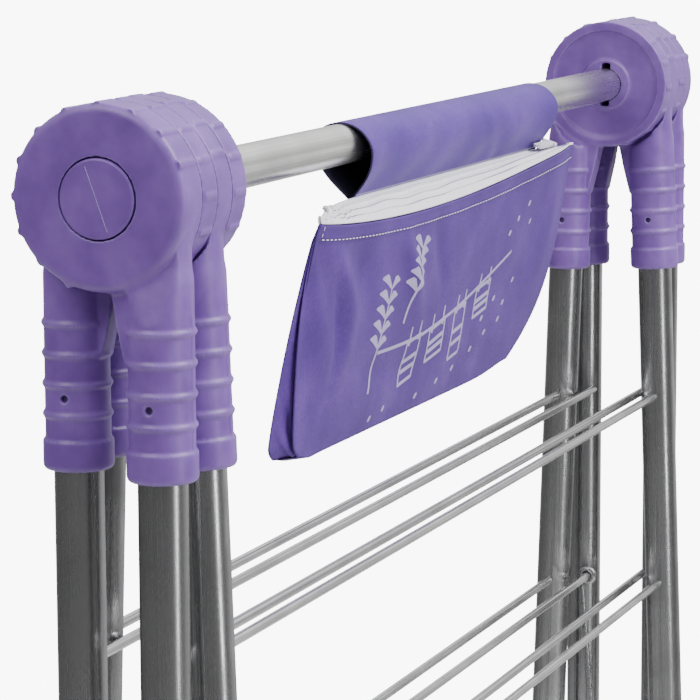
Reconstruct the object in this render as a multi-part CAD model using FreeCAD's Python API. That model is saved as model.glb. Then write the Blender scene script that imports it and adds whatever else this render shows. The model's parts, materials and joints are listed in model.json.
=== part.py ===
import FreeCAD, Part
import math
import os

# Folding clothes airer with a zipped peg bag, stored folded and standing on its four feet.
# Millimetres. +X runs along the top bar, -Y is the front, +Z is up.
# The origin is on the floor, midway between the feet, right under the top bar.

# Driving dimensions
hub_height = 1040.0         # floor to the axis of the top bar
inner_span = 606.0          # between the innermost knuckles
bar_diameter = 18.0
bar_wall = 1.0
tube_diameter = 19.0        # legs and wings
tube_wall = 0.8
rod_diameter = 4.5
hub_radius = 35.0           # knuckle disc
disc_gap = 0.6              # between two knuckle discs
socket_wall = 3.0           # of the round sleeve that holds a tube
socket_length = 68.0
socket_below_disc = 2.0     # rim of the disc down to the top of the sleeve
socket_gap = 1.0            # between two sleeves on the same side of a hub
socket_set_in = 2.0         # outer line of the sleeve inside the rim of the disc
shoulder_height = 9.0       # solid top of the sleeve over the tube's end
arm_top_drop = 10.0         # where the arm has merged into its disc
arm_lean_drop = 25.0        # where the outermost arm has sloped in under the cover
cuff_height = 11.5
cuff_round = 2.0
cuff_step = 1.0             # how far the cuff and the ring ribs stand out of the sleeve
wing_tilt = 2.0             # degrees that a folded wing stands out from its legs
rod_count = 5
first_rod_drop = 178.0
rod_pitch = 108.0
wing_gap = 0.67             # folded wing tube to the first leg rod
wing_length = 660.0         # hub axis down to the end of a wing tube
stretcher_height = 140.0    # above the floor
stretcher_diameter = 12.0
foot_wall = 2.0
foot_height = 38.0
foot_floor = 6.0            # solid sole under the tube end
foot_round = 1.5

# Clearances and small features
running_clearance = 0.08    # knuckle on the bar, eye on its rod
slip_clearance = 0.05       # tube in a sleeve, rod in its hole
face_clearance = 0.3        # between faces of bodies that turn past each other
dome_height = 3.4           # rounded cover of the outermost knuckle
dome_edge_radius = 3.2
rim_rib_count = 16
rim_rib_radius = 1.6
rim_rib_end = 1.5           # disc left bare at each end of a rim rib
rim_rib_clear = 2.0         # ribs stop this far from the disc's middle planes on the arm's side
dome_rib_end = 1.2          # and of the cover's height on the outermost knuckle
ring_rib_count = 4
ring_rib_start = 12.0       # top of the sleeve down to the first ring rib
ring_rib_pitch = 11.6
ring_rib_radius = 1.3
parting_width = 1.0         # mould line down the outer side of the sleeve
parting_rise = 0.5
web_share = 0.8             # web between disc and sleeve, as a share of the disc's thickness
web_foot_drop = 62.0
web_near = 2.0              # web's inner edge from the hub's middle plane
notch_width = 5.0           # moulded notches over and under the hub bore
notch_depth = 3.0
dish_hub = 5.0              # width of the raised ring round the bore of the innermost knuckle
dish_rim = 5.0              # width of the raised rim round its shallow dish
dish_depth = 1.4
cap_radius = 15.0
cap_thickness = 3.6
cap_margin = 0.5            # ring gap round the cap
cap_recess = 0.4            # cap's face under the rim of the cover
cap_round = 1.0
cap_stem_length = 16.0
washer_thickness = 0.8
washer_margin = 1.5         # washer's edge inside the edge of the cap
pin_diameter = 2.8
pin_below_rib = 4.8         # pin axis under the third ring rib
pin_recess = 2.4            # how far a pin's end lies under the sleeve's surface
tube_top_gap = 2.0          # tube end to the blind end of its sleeve
tip_flange = 4.0
tip_round = 2.0
tip_stem = 14.0

# Stay wires that set how wide the legs stand
stay_wire = 3.0
stay_rod = 1                # index of the back leg rod that carries the eyes
stay_rest_gap = 1.5         # folded hook to the last front rod, under it
hook_clearance = 1.0        # hook to the rod that it catches
eye_turn = 290.0            # degrees of wire round the rod
hook_turn = 140.0

# Peg bag
bag_left = -187.0
bag_right = 198.0
bag_top_drop = 25.0         # bar axis down to the seam between sleeve and bag
bag_bottom_drop = 132.0
bag_thickness = 19.0
belly_lag = 1.8             # how far the bag's middle lies behind the bar
hem_half = 2.5
hem_lag = 3.5
corner_left = 9.0           # how far the lower left corner is cut back
corner_right = 72.0         # lower right corner along the hem
corner_rise = 66.0          # and up the bag's end
seam_reach = 3.0            # back edge of the zip, behind the bar's axis
zip_reach = 15.0            # front edge of the zip, in front of it
zip_fall = 6.0              # front edge below the back edge
sleeve_left = -112.0
sleeve_right = 168.0
sleeve_clearance = 0.4
sleeve_fabric = 1.8
seam_half = 1.4
seam_gap = 1.3              # sleeve seam over the back edge of the bag
zip_thickness = 1.6
zip_edge = 0.8              # bag fabric left bare round the tape
slider_length = 12.0
slider_width = 9.0
slider_height = 2.6
slider_round = 2.0          # corners of the slider, seen from above
slider_start = 172.0
ear_thickness = 1.0
ear_radius = 1.5
puller_length = 22.0
puller_width = 5.0
puller_thickness = 1.2
puller_hole = 2.4           # in the puller's free end
puller_pin = 1.2
cut_through = 30.0          # longer than any cut is deep

# Sizes that follow from the values above
tube_radius = tube_diameter / 2
rod_radius = rod_diameter / 2
bar_radius = bar_diameter / 2
wire_radius = stay_wire / 2
socket_radius = tube_radius + socket_wall
knuckle_pitch = socket_radius + cuff_step + socket_gap / 2
disc_thickness = knuckle_pitch - disc_gap
socket_offset = hub_radius - socket_set_in - socket_radius
socket_top_drop = hub_radius + socket_below_disc
socket_bottom_drop = socket_top_drop + socket_length
ring_rib_first_drop = socket_top_drop + ring_rib_start
pin_drop = ring_rib_first_drop + 2 * ring_rib_pitch + pin_below_rib
foot_radius = tube_radius + foot_wall
stretcher_drop = hub_height - stretcher_height
wing_lead = first_rod_drop * math.tan(math.radians(wing_tilt))
leg_rod_inset = tube_radius + rod_radius + wing_gap - wing_lead
leg_rod_y = socket_offset - leg_rod_inset
hook_radius = rod_radius + hook_clearance + wire_radius
last_rod_drop = first_rod_drop + (rod_count - 1) * rod_pitch
stay_rest_drop = last_rod_drop - rod_radius - stay_rest_gap - wire_radius - hook_radius
pin_height = zip_thickness + slider_height + ear_radius + 2 * face_clearance
X = FreeCAD.Vector(1, 0, 0)
Y = FreeCAD.Vector(0, 1, 0)
Z = FreeCAD.Vector(0, 0, 1)
HUB = FreeCAD.Vector(0, 0, hub_height)


def vec(x, y, z):
    return FreeCAD.Vector(x, y, z)


def save(name, shape):
    """Write one node, which may hold several separate solids."""
    shape.exportStep("parts/" + name + ".step")


def cylinder(radius, start, end):
    """Round bar from start to end."""
    run = end.sub(start)
    return Part.makeCylinder(radius, run.Length, start, run)


def block(x, y, z):
    """Box from three (low, high) pairs."""
    return Part.makeBox(x[1] - x[0], y[1] - y[0], z[1] - z[0], vec(x[0], y[0], z[0]))


def slice_x(number, end):
    """X of the middle of a knuckle: number 1 is outermost, end is -1 left or +1 right."""
    return end * (inner_span / 2 + (4.5 - number) * knuckle_pitch - disc_gap / 2)


def rod_drop(index):
    return first_rod_drop + index * rod_pitch


def tilted(shape, side, degrees):
    """Swing a frame piece outwards about the hub axis; pieces are drawn with the hub at z = 0."""
    turned = shape.copy()
    turned.rotate(vec(0, 0, 0), X, side * degrees)
    return turned


def placed(shape, side, degrees):
    """The same, then up to the height of the hub."""
    turned = tilted(shape, side, degrees)
    turned.translate(HUB)
    return turned


def arm(x, end, number, side):
    """Arm from the disc into the sleeve: a post, hollowed out round the neighbouring discs.

    The outermost knuckle has no neighbour outside, so its arm slopes in under the cover there."""
    y = side * socket_offset
    low = -socket_top_drop - shoulder_height
    post = cylinder(socket_radius, vec(x, y, low), vec(x, y, -arm_top_drop))
    half = disc_thickness / 2
    for hand in (-1, 1):
        if number == 1 and hand == end:
            face = x + end * half
            outside = x + end * (socket_radius + 1)
            corners = [vec(x + end * socket_radius, -hub_radius, low), vec(outside, -hub_radius, low)]
            corners += [vec(outside, -hub_radius, 0), vec(face, -hub_radius, 0)]
            corners += [vec(face, -hub_radius, -arm_lean_drop)]
            lean = Part.Face(Part.makePolygon(corners + corners[:1])).extrude(Y * (2 * hub_radius))
            post = post.cut(lean)
        else:
            hollow = cylinder(socket_top_drop, vec(x + hand * half, 0, 0), vec(x + hand * cut_through, 0, 0))
            post = post.cut(hollow)
    return post


def sleeve_body(x, side):
    """Round sleeve with its ring ribs and the rounded cuff at its mouth."""
    y = side * socket_offset
    top = -socket_top_drop - shoulder_height
    shape = cylinder(socket_radius, vec(x, y, -socket_bottom_drop), vec(x, y, top))
    for index in range(ring_rib_count):
        height = -ring_rib_first_drop - index * ring_rib_pitch
        major = socket_radius - ring_rib_radius + cuff_step
        shape = shape.fuse(Part.makeTorus(major, ring_rib_radius, vec(x, y, height), Z))
    cuff = cylinder(socket_radius + cuff_step, vec(x, y, -socket_bottom_drop),
                    vec(x, y, cuff_height - socket_bottom_drop))
    cuff = cuff.makeFillet(cuff_round, [edge for edge in cuff.Edges
                                 if abs(edge.BoundBox.ZMax + socket_bottom_drop) < 0.01])
    return shape.fuse(cuff)


def hub_disc(x, end, number):
    """Knuckle disc with its rim ribs; the outermost one carries the domed cover."""
    half = disc_thickness / 2
    disc = cylinder(hub_radius, vec(x - half, 0, 0), vec(x + half, 0, 0))
    if number == 1:
        face = x + end * half
        cover = cylinder(hub_radius, vec(x, 0, 0), vec(face + end * dome_height, 0, 0))
        outer_edge = [edge for edge in cover.Edges
                      if abs(edge.BoundBox.Center.x - face - end * dome_height) < 0.01]
        disc = disc.fuse(cover.makeFillet(dome_edge_radius, outer_edge))
    return disc


def parting_line(x, side):
    """Fine raised line that the two halves of the mould leave down the sleeve."""
    outer = side * (socket_offset + socket_radius)
    edges = (min(outer - side, outer + side * parting_rise), max(outer - side, outer + side * parting_rise))
    half = parting_width / 2
    return block((x - half, x + half), edges, (-socket_bottom_drop + cuff_height, -socket_top_drop))


def arm_web(x, side):
    """Web that fills the corner between the disc and the inner side of the sleeve."""
    half = disc_thickness * web_share / 2
    inner = side * (socket_offset - socket_radius)
    middle = side * socket_offset
    corners = [vec(x - half, side * web_near, -hub_radius / 2), vec(x - half, side * web_near, -hub_radius)]
    corners += [vec(x - half, inner, -web_foot_drop), vec(x - half, middle, -web_foot_drop)]
    corners += [vec(x - half, middle, -hub_radius / 2)]
    return Part.Face(Part.makePolygon(corners + corners[:1])).extrude(X * (2 * half))


def rim_ribs(x, side, end, number):
    """Half-round ribs along the rim, left off where the arm leaves the disc."""
    ribs = []
    start = x - end * (disc_thickness / 2 - rim_rib_end)
    stop = x + end * (disc_thickness / 2 - rim_rib_end)
    if number == 1:
        stop = x + end * (disc_thickness / 2 + dome_height - dome_rib_end)
    for index in range(rim_rib_count):
        angle = 2 * math.pi * index / rim_rib_count
        y = hub_radius * math.cos(angle)
        z = hub_radius * math.sin(angle)
        if side * y > -rim_rib_clear and z < rim_rib_clear:
            continue
        ribs.append(cylinder(rim_rib_radius, vec(start, y, z), vec(stop, y, z)))
    return ribs


def bore_notches(x):
    """Moulded notches over and under the hub bore."""
    half = disc_thickness / 2 + 1.0
    reach = bar_radius + notch_depth
    return block((x - half, x + half), (-notch_width / 2, notch_width / 2),
                 (-reach, reach))


def pin_bore(x, y):
    """Hole for the cross pin, right through the sleeve and its tube."""
    radius = pin_diameter / 2 + slip_clearance
    return cylinder(radius, vec(x - cut_through, y, -pin_drop), vec(x + cut_through, y, -pin_drop))


def knuckle(number, end, side, degrees):
    """One moulded knuckle: disc on the bar, arm down one side, sleeve for the frame tube."""
    x = slice_x(number, end)
    half = disc_thickness / 2
    y = side * socket_offset
    shape = hub_disc(x, end, number).fuse([arm(x, end, number, side), sleeve_body(x, side)])
    shape = shape.fuse([arm_web(x, side), parting_line(x, side)])
    shape = shape.fuse(rim_ribs(x, side, end, number))
    bore = bar_radius + running_clearance
    shape = shape.cut(cylinder(bore, vec(x - cut_through, 0, 0), vec(x + cut_through, 0, 0)))
    shape = shape.cut(bore_notches(x))
    if number == 1:
        seat = x + end * (half + dome_height - cap_thickness)
        outside = seat + end * cut_through
        shape = shape.cut(cylinder(cap_radius + cap_margin, vec(seat, 0, 0), vec(outside, 0, 0)))
    if number == 4:
        face = x - end * half
        rim = hub_radius - dish_rim
        ring = bar_radius + dish_hub
        dish = cylinder(rim, vec(face - end, 0, 0), vec(face + end * dish_depth, 0, 0))
        dish = dish.cut(cylinder(ring, vec(face - end * 2, 0, 0), vec(face + end * 3, 0, 0)))
        shape = shape.cut(dish)
    tube_bore = tube_radius + slip_clearance
    blind_end = -socket_top_drop - shoulder_height
    shape = shape.cut(cylinder(tube_bore, vec(x, y, -socket_bottom_drop - 1), vec(x, y, blind_end)))
    shape = shape.cut(pin_bore(x, y))
    return placed(shape.removeSplitter(), side, degrees)


def frame_tube(number, end, side, degrees, length, crossings):
    """Frame tube from inside its sleeve down to length, with the holes that its rods enter."""
    x = slice_x(number, end)
    y = side * socket_offset
    top = -socket_top_drop - shoulder_height - tube_top_gap
    shape = cylinder(tube_radius, vec(x, y, -length), vec(x, y, top))
    shape = shape.cut(cylinder(tube_radius - tube_wall, vec(x, y, -length - 1), vec(x, y, top + 1)))
    shape = shape.cut(pin_bore(x, y))
    for drop, radius, offset in crossings:
        line = y - side * offset
        hole = cylinder(radius + slip_clearance, vec(x, line, -drop), vec(x - end * cut_through, line, -drop))
        shape = shape.cut(hole)
    return placed(shape, side, degrees)


def cross_pin(number, side, degrees):
    """Pins that hold the tubes in their sleeves, one at each end of a frame."""
    pins = []
    reach = socket_radius - pin_recess
    for end in (-1, 1):
        x = slice_x(number, end)
        y = side * socket_offset
        pins.append(cylinder(pin_diameter / 2, vec(x - reach, y, -pin_drop), vec(x + reach, y, -pin_drop)))
    return placed(Part.makeCompound(pins), side, degrees)


def frame_rods(number, side, degrees, inset):
    """Drying rods of one frame, each ending inside both of its tubes."""
    reach = slice_x(number, 1)
    y = side * (socket_offset - inset)
    rods = []
    for index in range(rod_count):
        z = -rod_drop(index)
        rods.append(cylinder(rod_radius, vec(-reach, y, z), vec(reach, y, z)))
    return placed(Part.makeCompound(rods), side, degrees)


def leg_frame(name, number, side):
    """Wide frame that stands on the floor."""
    crossings = [(rod_drop(index), rod_radius, leg_rod_inset) for index in range(rod_count)]
    crossings.append((stretcher_drop, stretcher_diameter / 2, 0))
    length = hub_height - foot_floor
    for end, hand in ((-1, "left"), (1, "right")):
        save(name + "_leg_knuckle_" + hand, knuckle(number, end, side, 0))
        tube = frame_tube(number, end, side, 0, length, crossings)
        save(name + "_leg_tube_" + hand, tube)
        save(name + "_foot_" + hand, foot(number, end, side))
    save(name + "_leg_rods", frame_rods(number, side, 0, leg_rod_inset))
    save(name + "_leg_pins", cross_pin(number, side, 0))
    reach = slice_x(number, 1)
    y = side * socket_offset
    bar = cylinder(stretcher_diameter / 2, vec(-reach, y, -stretcher_drop), vec(reach, y, -stretcher_drop))
    bore = stretcher_diameter / 2 - tube_wall
    bar = bar.cut(cylinder(bore, vec(-reach - 1, y, -stretcher_drop), vec(reach + 1, y, -stretcher_drop)))
    save(name + "_leg_stretcher", placed(bar, side, 0))


def foot(number, end, side):
    """Rubber cup over the end of a leg, flat underneath."""
    x = slice_x(number, end)
    y = side * socket_offset
    cup = cylinder(foot_radius, vec(x, y, 0), vec(x, y, foot_height))
    cup = cup.makeFillet(foot_round, cup.Edges)
    return cup.cut(cylinder(tube_radius + slip_clearance, vec(x, y, foot_floor), vec(x, y, foot_height + 1)))


def wing_frame(name, number, side):
    """Narrow frame that folds down outside the legs."""
    crossings = [(rod_drop(index), rod_radius, 0) for index in range(rod_count)]
    for end, hand in ((-1, "left"), (1, "right")):
        save(name + "_wing_knuckle_" + hand, knuckle(number, end, side, wing_tilt))
        tube = frame_tube(number, end, side, wing_tilt, wing_length, crossings)
        save(name + "_wing_tube_" + hand, tube)
        save(name + "_wing_tip_" + hand, wing_tip(number, end, side))
    save(name + "_wing_rods", frame_rods(number, side, wing_tilt, 0))
    save(name + "_wing_pins", cross_pin(number, side, wing_tilt))


def wing_tip(number, end, side):
    """Plug in the open end of a wing tube."""
    x = slice_x(number, end)
    y = side * socket_offset
    head = cylinder(tube_radius, vec(x, y, -wing_length - tip_flange), vec(x, y, -wing_length))
    low_edge = [edge for edge in head.Edges if abs(edge.BoundBox.ZMax + wing_length + tip_flange) < 0.01]
    head = head.makeFillet(tip_round, low_edge)
    stem = cylinder(tube_radius - tube_wall - slip_clearance, vec(x, y, -wing_length - 1),
                    vec(x, y, -wing_length + tip_stem))
    return placed(head.fuse(stem), side, wing_tilt)


def top_rail():
    """Bar through all eight knuckles, with a washer and a plugged cap at each end."""
    seat = slice_x(1, 1) + disc_thickness / 2 + dome_height - cap_thickness
    shoulder = seat + face_clearance
    bar = cylinder(bar_radius, vec(-shoulder, 0, hub_height), vec(shoulder, 0, hub_height))
    bore = bar_radius - bar_wall
    bar = bar.cut(cylinder(bore, vec(-shoulder - 1, 0, hub_height), vec(shoulder + 1, 0, hub_height)))
    save("top_bar", bar)
    for end, hand in ((-1, "left"), (1, "right")):
        start = end * shoulder
        washer_end = end * (shoulder + washer_thickness)
        cap_end = end * (shoulder + washer_thickness + cap_thickness - cap_recess)
        stem_end = end * (shoulder - cap_stem_length)
        stem_radius = bore - slip_clearance
        washer = cylinder(cap_radius - washer_margin, vec(start, 0, hub_height),
                          vec(washer_end, 0, hub_height))
        washer = washer.cut(cylinder(bore, vec(start - end, 0, hub_height),
                                     vec(washer_end + end, 0, hub_height)))
        save("cap_washer_" + hand, washer)
        head = cylinder(cap_radius, vec(washer_end, 0, hub_height), vec(cap_end, 0, hub_height))
        rim = [edge for edge in head.Edges if abs(edge.BoundBox.Center.x - cap_end) < 0.01]
        head = head.makeFillet(cap_round, rim)
        stem = cylinder(stem_radius, vec(stem_end, 0, hub_height), vec(washer_end, 0, hub_height))
        save("end_cap_" + hand, head.fuse(stem))


def stay(end):
    """Bent wire with an eye round a back leg rod and an open hook at its lower end."""
    x = end * stay_x
    eye = vec(x, leg_rod_y, hub_height - rod_drop(stay_rod))
    hook = vec(x, -leg_rod_y, hub_height - stay_rest_drop)
    eye_radius = rod_radius + running_clearance + wire_radius
    run = hook.sub(eye)
    along = vec(0, run.y / run.Length, run.z / run.Length)
    back = vec(0, -along.z, along.y)
    # The straight run joins both bends tangentially on the back side of both rods.
    lean = math.asin((hook_radius - eye_radius) / run.Length)
    shank_side = back * math.cos(lean) + along * -math.sin(lean)
    eye_start = eye + shank_side * eye_radius
    hook_start = hook + shank_side * hook_radius
    eye_points = arc_points(eye, shank_side, along * -1, eye_radius, eye_turn)
    hook_points = arc_points(hook, shank_side, along, hook_radius, hook_turn)
    path = [
        Part.Arc(eye_points[2], eye_points[1], eye_start).toShape(),
        Part.LineSegment(eye_start, hook_start).toShape(),
        Part.Arc(hook_start, hook_points[1], hook_points[2]).toShape(),
    ]
    wire = Part.Wire(path)
    tangent = path[0].tangentAt(path[0].FirstParameter)
    profile = Part.Wire(Part.makeCircle(wire_radius, eye_points[2], tangent))
    return wire.makePipeShell([profile], True, True)


def arc_points(centre, start, onward, radius, degrees):
    """Start, middle and end of an arc that leaves centre + start and turns towards onward."""
    points = []
    for part in (0.0, 0.5, 1.0):
        angle = math.radians(degrees * part)
        points.append(centre + start * (radius * math.cos(angle)) + onward * (radius * math.sin(angle)))
    return points


def bag_points():
    """Corners of the bag across the bar: zip low and high edge, bellies and hem."""
    low = vec(0, -zip_reach, hub_height - bag_top_drop - zip_fall)
    high = vec(0, seam_reach, hub_height - bag_top_drop)
    bottom = hub_height - bag_bottom_drop
    belly = (low.z + bottom) / 2
    front = vec(0, belly_lag - bag_thickness / 2, belly)
    back = vec(0, belly_lag + bag_thickness / 2, belly)
    return low, high, front, back, vec(0, hem_lag - hem_half, bottom), vec(0, hem_lag + hem_half, bottom)


def corner_waste(x, inward, width, height):
    """What is trimmed off a lower corner of the bag, in three straight cuts along an ellipse."""
    bottom = hub_height - bag_bottom_drop
    outside = x - inward
    depth = -bag_thickness
    corners = [vec(outside, depth, bottom + height)]
    for degrees in (0, 30, 60, 90):
        angle = math.radians(degrees)
        run = inward * width * (1 - math.cos(angle))
        corners.append(vec(x + run, depth, bottom + height * (1 - math.sin(angle))))
    corners += [vec(x + inward * width, depth, bottom - 1), vec(outside, depth, bottom - 1)]
    return Part.Face(Part.makePolygon(corners + corners[:1])).extrude(Y * (2 * bag_thickness))


def peg_bag():
    """Plain closed body of the bag, its slanted lid under the zip."""
    low, high, front, back, hem_front, hem_back = bag_points()
    outline = [
        Part.Arc(low, front, hem_front).toShape(),
        Part.LineSegment(hem_front, hem_back).toShape(),
        Part.Arc(hem_back, back, high).toShape(),
        Part.LineSegment(high, low).toShape(),
    ]
    body = Part.Face(Part.Wire(outline)).extrude(X * (bag_right - bag_left))
    body.translate(X * bag_left)
    left_waste = corner_waste(bag_left, 1, corner_left, corner_left)
    right_waste = corner_waste(bag_right, -1, corner_right, corner_rise)
    return body.cut([left_waste, right_waste])


def bag_sleeve():
    """Loop of fabric that hangs on the bar like a drop, sewn to the top of the bag."""
    inner = bar_radius + sleeve_clearance
    outer = inner + sleeve_fabric
    seam = vec(sleeve_left, 0, hub_height - bag_top_drop + seam_gap)
    span = X * (sleeve_right - sleeve_left)
    hub = vec(sleeve_left, 0, hub_height)
    drop = hub.z - seam.z
    touch = math.acos(outer / drop)
    side = vec(0, outer * math.sin(touch), -outer * math.cos(touch))
    mirror = vec(0, -side.y, side.z)
    profile = [hub, hub + side, seam + Y * seam_half, seam - Y * seam_half, hub + mirror, hub]
    drop_shape = Part.Face(Part.makePolygon(profile)).extrude(span)
    shape = cylinder(outer, hub, hub + span).fuse(drop_shape)
    return shape.cut(cylinder(inner, hub - X, hub + span + X)).removeSplitter()


def on_lid(shape):
    """From the lid's own axes (x along the zip, y up its slope, z out of it) to the model's."""
    low, high = bag_points()[:2]
    shape.rotate(vec(0, 0, 0), X, math.degrees(math.atan2(high.z - low.z, high.y - low.y)))
    shape.translate((low + high) * 0.5)
    return shape


def zip_tape():
    """Both tapes of the zip with its closed teeth, as one flat strip on the lid."""
    half = math.hypot(zip_reach + seam_reach, zip_fall) / 2 - zip_edge
    return on_lid(block((bag_left + zip_edge, bag_right - zip_edge), (-half, half), (0, zip_thickness)))


def zip_slider():
    """Slider body over the teeth, with two ears that carry the pin of the puller."""
    base = zip_thickness + face_clearance
    top = base + slider_height
    length = (slider_start - slider_length / 2, slider_start + slider_length / 2)
    shape = block(length, (-slider_width / 2, slider_width / 2), (base, top))
    upright = [edge for edge in shape.Edges if edge.BoundBox.ZLength > slider_height / 2]
    shape = shape.makeFillet(slider_round, upright)
    gap = puller_width / 2 + face_clearance
    reach = gap + ear_thickness
    stem = (slider_start - ear_radius, slider_start + ear_radius)
    for low, high in ((-reach, -gap), (gap, reach)):
        foot = block(stem, (low, high), (base + slider_height / 2, pin_height))
        eye = cylinder(ear_radius, vec(slider_start, low, pin_height), vec(slider_start, high, pin_height))
        shape = shape.fuse([foot, eye])
    ends = [vec(slider_start, hand * reach, pin_height) for hand in (-1, 1)]
    return on_lid(shape.fuse(cylinder(puller_pin / 2, ends[0], ends[1])).removeSplitter())


def zip_puller():
    """Puller that lies back along the zip from its pin, with a round free end and a hole in it."""
    half = puller_width / 2
    tip = slider_start - puller_length + half
    low = pin_height - puller_thickness / 2
    high = pin_height + puller_thickness / 2
    eye = cylinder(ear_radius, vec(slider_start, -half, pin_height), vec(slider_start, half, pin_height))
    tag = block((tip, slider_start), (-half, half), (low, high))
    shape = eye.fuse([tag, cylinder(half, vec(tip, 0, low), vec(tip, 0, high))])
    shape = shape.cut(cylinder(puller_hole / 2, vec(tip, 0, low - 1), vec(tip, 0, high + 1)))
    bore = puller_pin / 2 + running_clearance
    hole = cylinder(bore, vec(slider_start, -half - 1, pin_height), vec(slider_start, half + 1, pin_height))
    return on_lid(shape.cut(hole).removeSplitter())


os.makedirs("parts", exist_ok=True)
leg_inner_face = slice_x(2, 1) - tube_radius
wing_outer_face = slice_x(4, 1) + tube_radius
stay_x = (leg_inner_face + wing_outer_face) / 2

top_rail()
leg_frame("front", 1, -1)
leg_frame("back", 2, 1)
wing_frame("front", 3, -1)
wing_frame("back", 4, 1)
save("stay_wire_left", stay(-1))
save("stay_wire_right", stay(1))
save("peg_bag", peg_bag())
save("bag_sleeve", bag_sleeve())
save("zip_tape", zip_tape())
save("zip_slider", zip_slider())
save("zip_puller", zip_puller())
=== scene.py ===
import json
import math

import bpy
import numpy as np
from mathutils import Matrix, Vector


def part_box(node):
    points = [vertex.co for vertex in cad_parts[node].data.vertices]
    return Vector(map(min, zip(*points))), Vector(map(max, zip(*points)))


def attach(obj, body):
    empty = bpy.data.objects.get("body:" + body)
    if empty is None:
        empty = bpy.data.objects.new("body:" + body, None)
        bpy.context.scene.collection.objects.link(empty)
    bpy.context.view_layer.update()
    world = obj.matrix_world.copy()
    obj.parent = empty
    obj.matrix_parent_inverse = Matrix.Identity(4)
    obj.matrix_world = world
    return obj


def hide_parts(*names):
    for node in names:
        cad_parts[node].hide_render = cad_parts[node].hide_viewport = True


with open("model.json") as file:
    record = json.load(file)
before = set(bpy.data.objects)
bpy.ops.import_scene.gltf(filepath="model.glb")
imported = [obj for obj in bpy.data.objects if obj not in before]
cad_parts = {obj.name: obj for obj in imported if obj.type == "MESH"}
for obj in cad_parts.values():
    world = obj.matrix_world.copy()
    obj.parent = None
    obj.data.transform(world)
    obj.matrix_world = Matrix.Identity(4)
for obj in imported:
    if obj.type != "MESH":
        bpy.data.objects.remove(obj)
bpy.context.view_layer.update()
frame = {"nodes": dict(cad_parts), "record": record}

# Places taken from the frame, in metres
MM = 0.001
bar_low, bar_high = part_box("top_bar")
hub_height = (bar_low.z + bar_high.z) / 2
bar_radius = (bar_high.z - bar_low.z) / 2
sleeve_low, sleeve_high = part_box("bag_sleeve")
cap_low, cap_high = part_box("end_cap_left")
hub_radius = 35.0 * MM


def linear(hex_code):
    """sRGB hex to linear red, green, blue and alpha."""
    values = [int(hex_code[i:i + 2], 16) / 255 for i in (1, 3, 5)]
    return [v / 12.92 if v <= 0.04045 else ((v + 0.055) / 1.055) ** 2.4 for v in values] + [1.0]


# Materials

def add(tree, kind, inputs=None, stops=(), **settings):
    """Add one node with its settings; an input is a value, or an output socket to link.

    stops are a colour ramp's (position, hex) pairs."""
    node = tree.nodes.new(kind)
    for name, value in settings.items():
        setattr(node, name, value)
    while stops and len(node.color_ramp.elements) < len(stops):
        node.color_ramp.elements.new(0.5)
    for number, (position, colour) in enumerate(stops):
        node.color_ramp.elements[number].position = position
        node.color_ramp.elements[number].color = linear(colour)
    for key, value in (inputs or {}).items():
        if isinstance(value, bpy.types.NodeSocket):
            tree.links.new(value, node.inputs[key])
        else:
            node.inputs[key].default_value = value
    return node


def start_material(name):
    """An empty material with its shader, and its object coordinates in metres."""
    material = bpy.data.materials.new(name)
    material.use_nodes = True
    tree = material.node_tree
    shader = tree.nodes["Principled BSDF"]
    place = add(tree, "ShaderNodeTexCoord").outputs["Object"]
    return material, tree, shader, place


def moulded_polypropylene(name, dark, middle, light, rib_highlight_colour):
    """Injection-moulded polypropylene: a waxy semi-matt skin with cloudy flow marks.

    Clouds are 18 mm across, swirls in the skin 6 mm and its grain 0.9 mm; the ribs' crests carry a painted
    highlight, paler in patches of 4 mm."""
    material, tree, shader, place = start_material(name)
    clouds = add(tree, "ShaderNodeTexNoise", {"Vector": place, "Scale": 55.0, "Detail": 3.0,
                                              "Roughness": 0.55})
    colour = add(tree, "ShaderNodeValToRGB", {"Fac": clouds.outputs["Fac"]},
                 [(0.30, dark), (0.52, middle), (0.74, light)]).outputs["Color"]
    # Painted highlight: crests that stand out are mixed towards a paler colour, in patches
    rub = add(tree, "ShaderNodeAttribute", attribute_name="rub")
    patch = add(tree, "ShaderNodeTexNoise", {"Vector": place, "Scale": 260.0, "Detail": 2.0})
    rib_highlight_share = add(tree, "ShaderNodeMath", {0: rub.outputs["Fac"], 1: patch.outputs["Fac"]},
                     operation="MULTIPLY")
    mixed = add(tree, "ShaderNodeMix", {"Factor": rib_highlight_share.outputs[0], "A": colour,
                                        "B": linear(rib_highlight_colour)}, data_type="RGBA")
    tree.links.new(mixed.outputs["Result"], shader.inputs["Base Color"])
    gloss = add(tree, "ShaderNodeMapRange", {"Value": clouds.outputs["Fac"], "To Min": 0.34,
                                             "To Max": 0.50})
    tree.links.new(gloss.outputs["Result"], shader.inputs["Roughness"])
    shader.inputs["IOR"].default_value = 1.49
    grain = add(tree, "ShaderNodeTexNoise", {"Vector": place, "Scale": 1100.0, "Detail": 2.0})
    swirl = add(tree, "ShaderNodeTexNoise", {"Vector": place, "Scale": 160.0, "Detail": 2.0})
    height = add(tree, "ShaderNodeMath", {0: grain.outputs["Fac"], 1: 0.35, 2: swirl.outputs["Fac"]},
                 operation="MULTIPLY_ADD")
    bump = add(tree, "ShaderNodeBump", {"Height": height.outputs[0], "Strength": 0.35,
                                        "Distance": 0.00025})
    tree.links.new(bump.outputs["Normal"], shader.inputs["Normal"])
    return material


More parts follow.
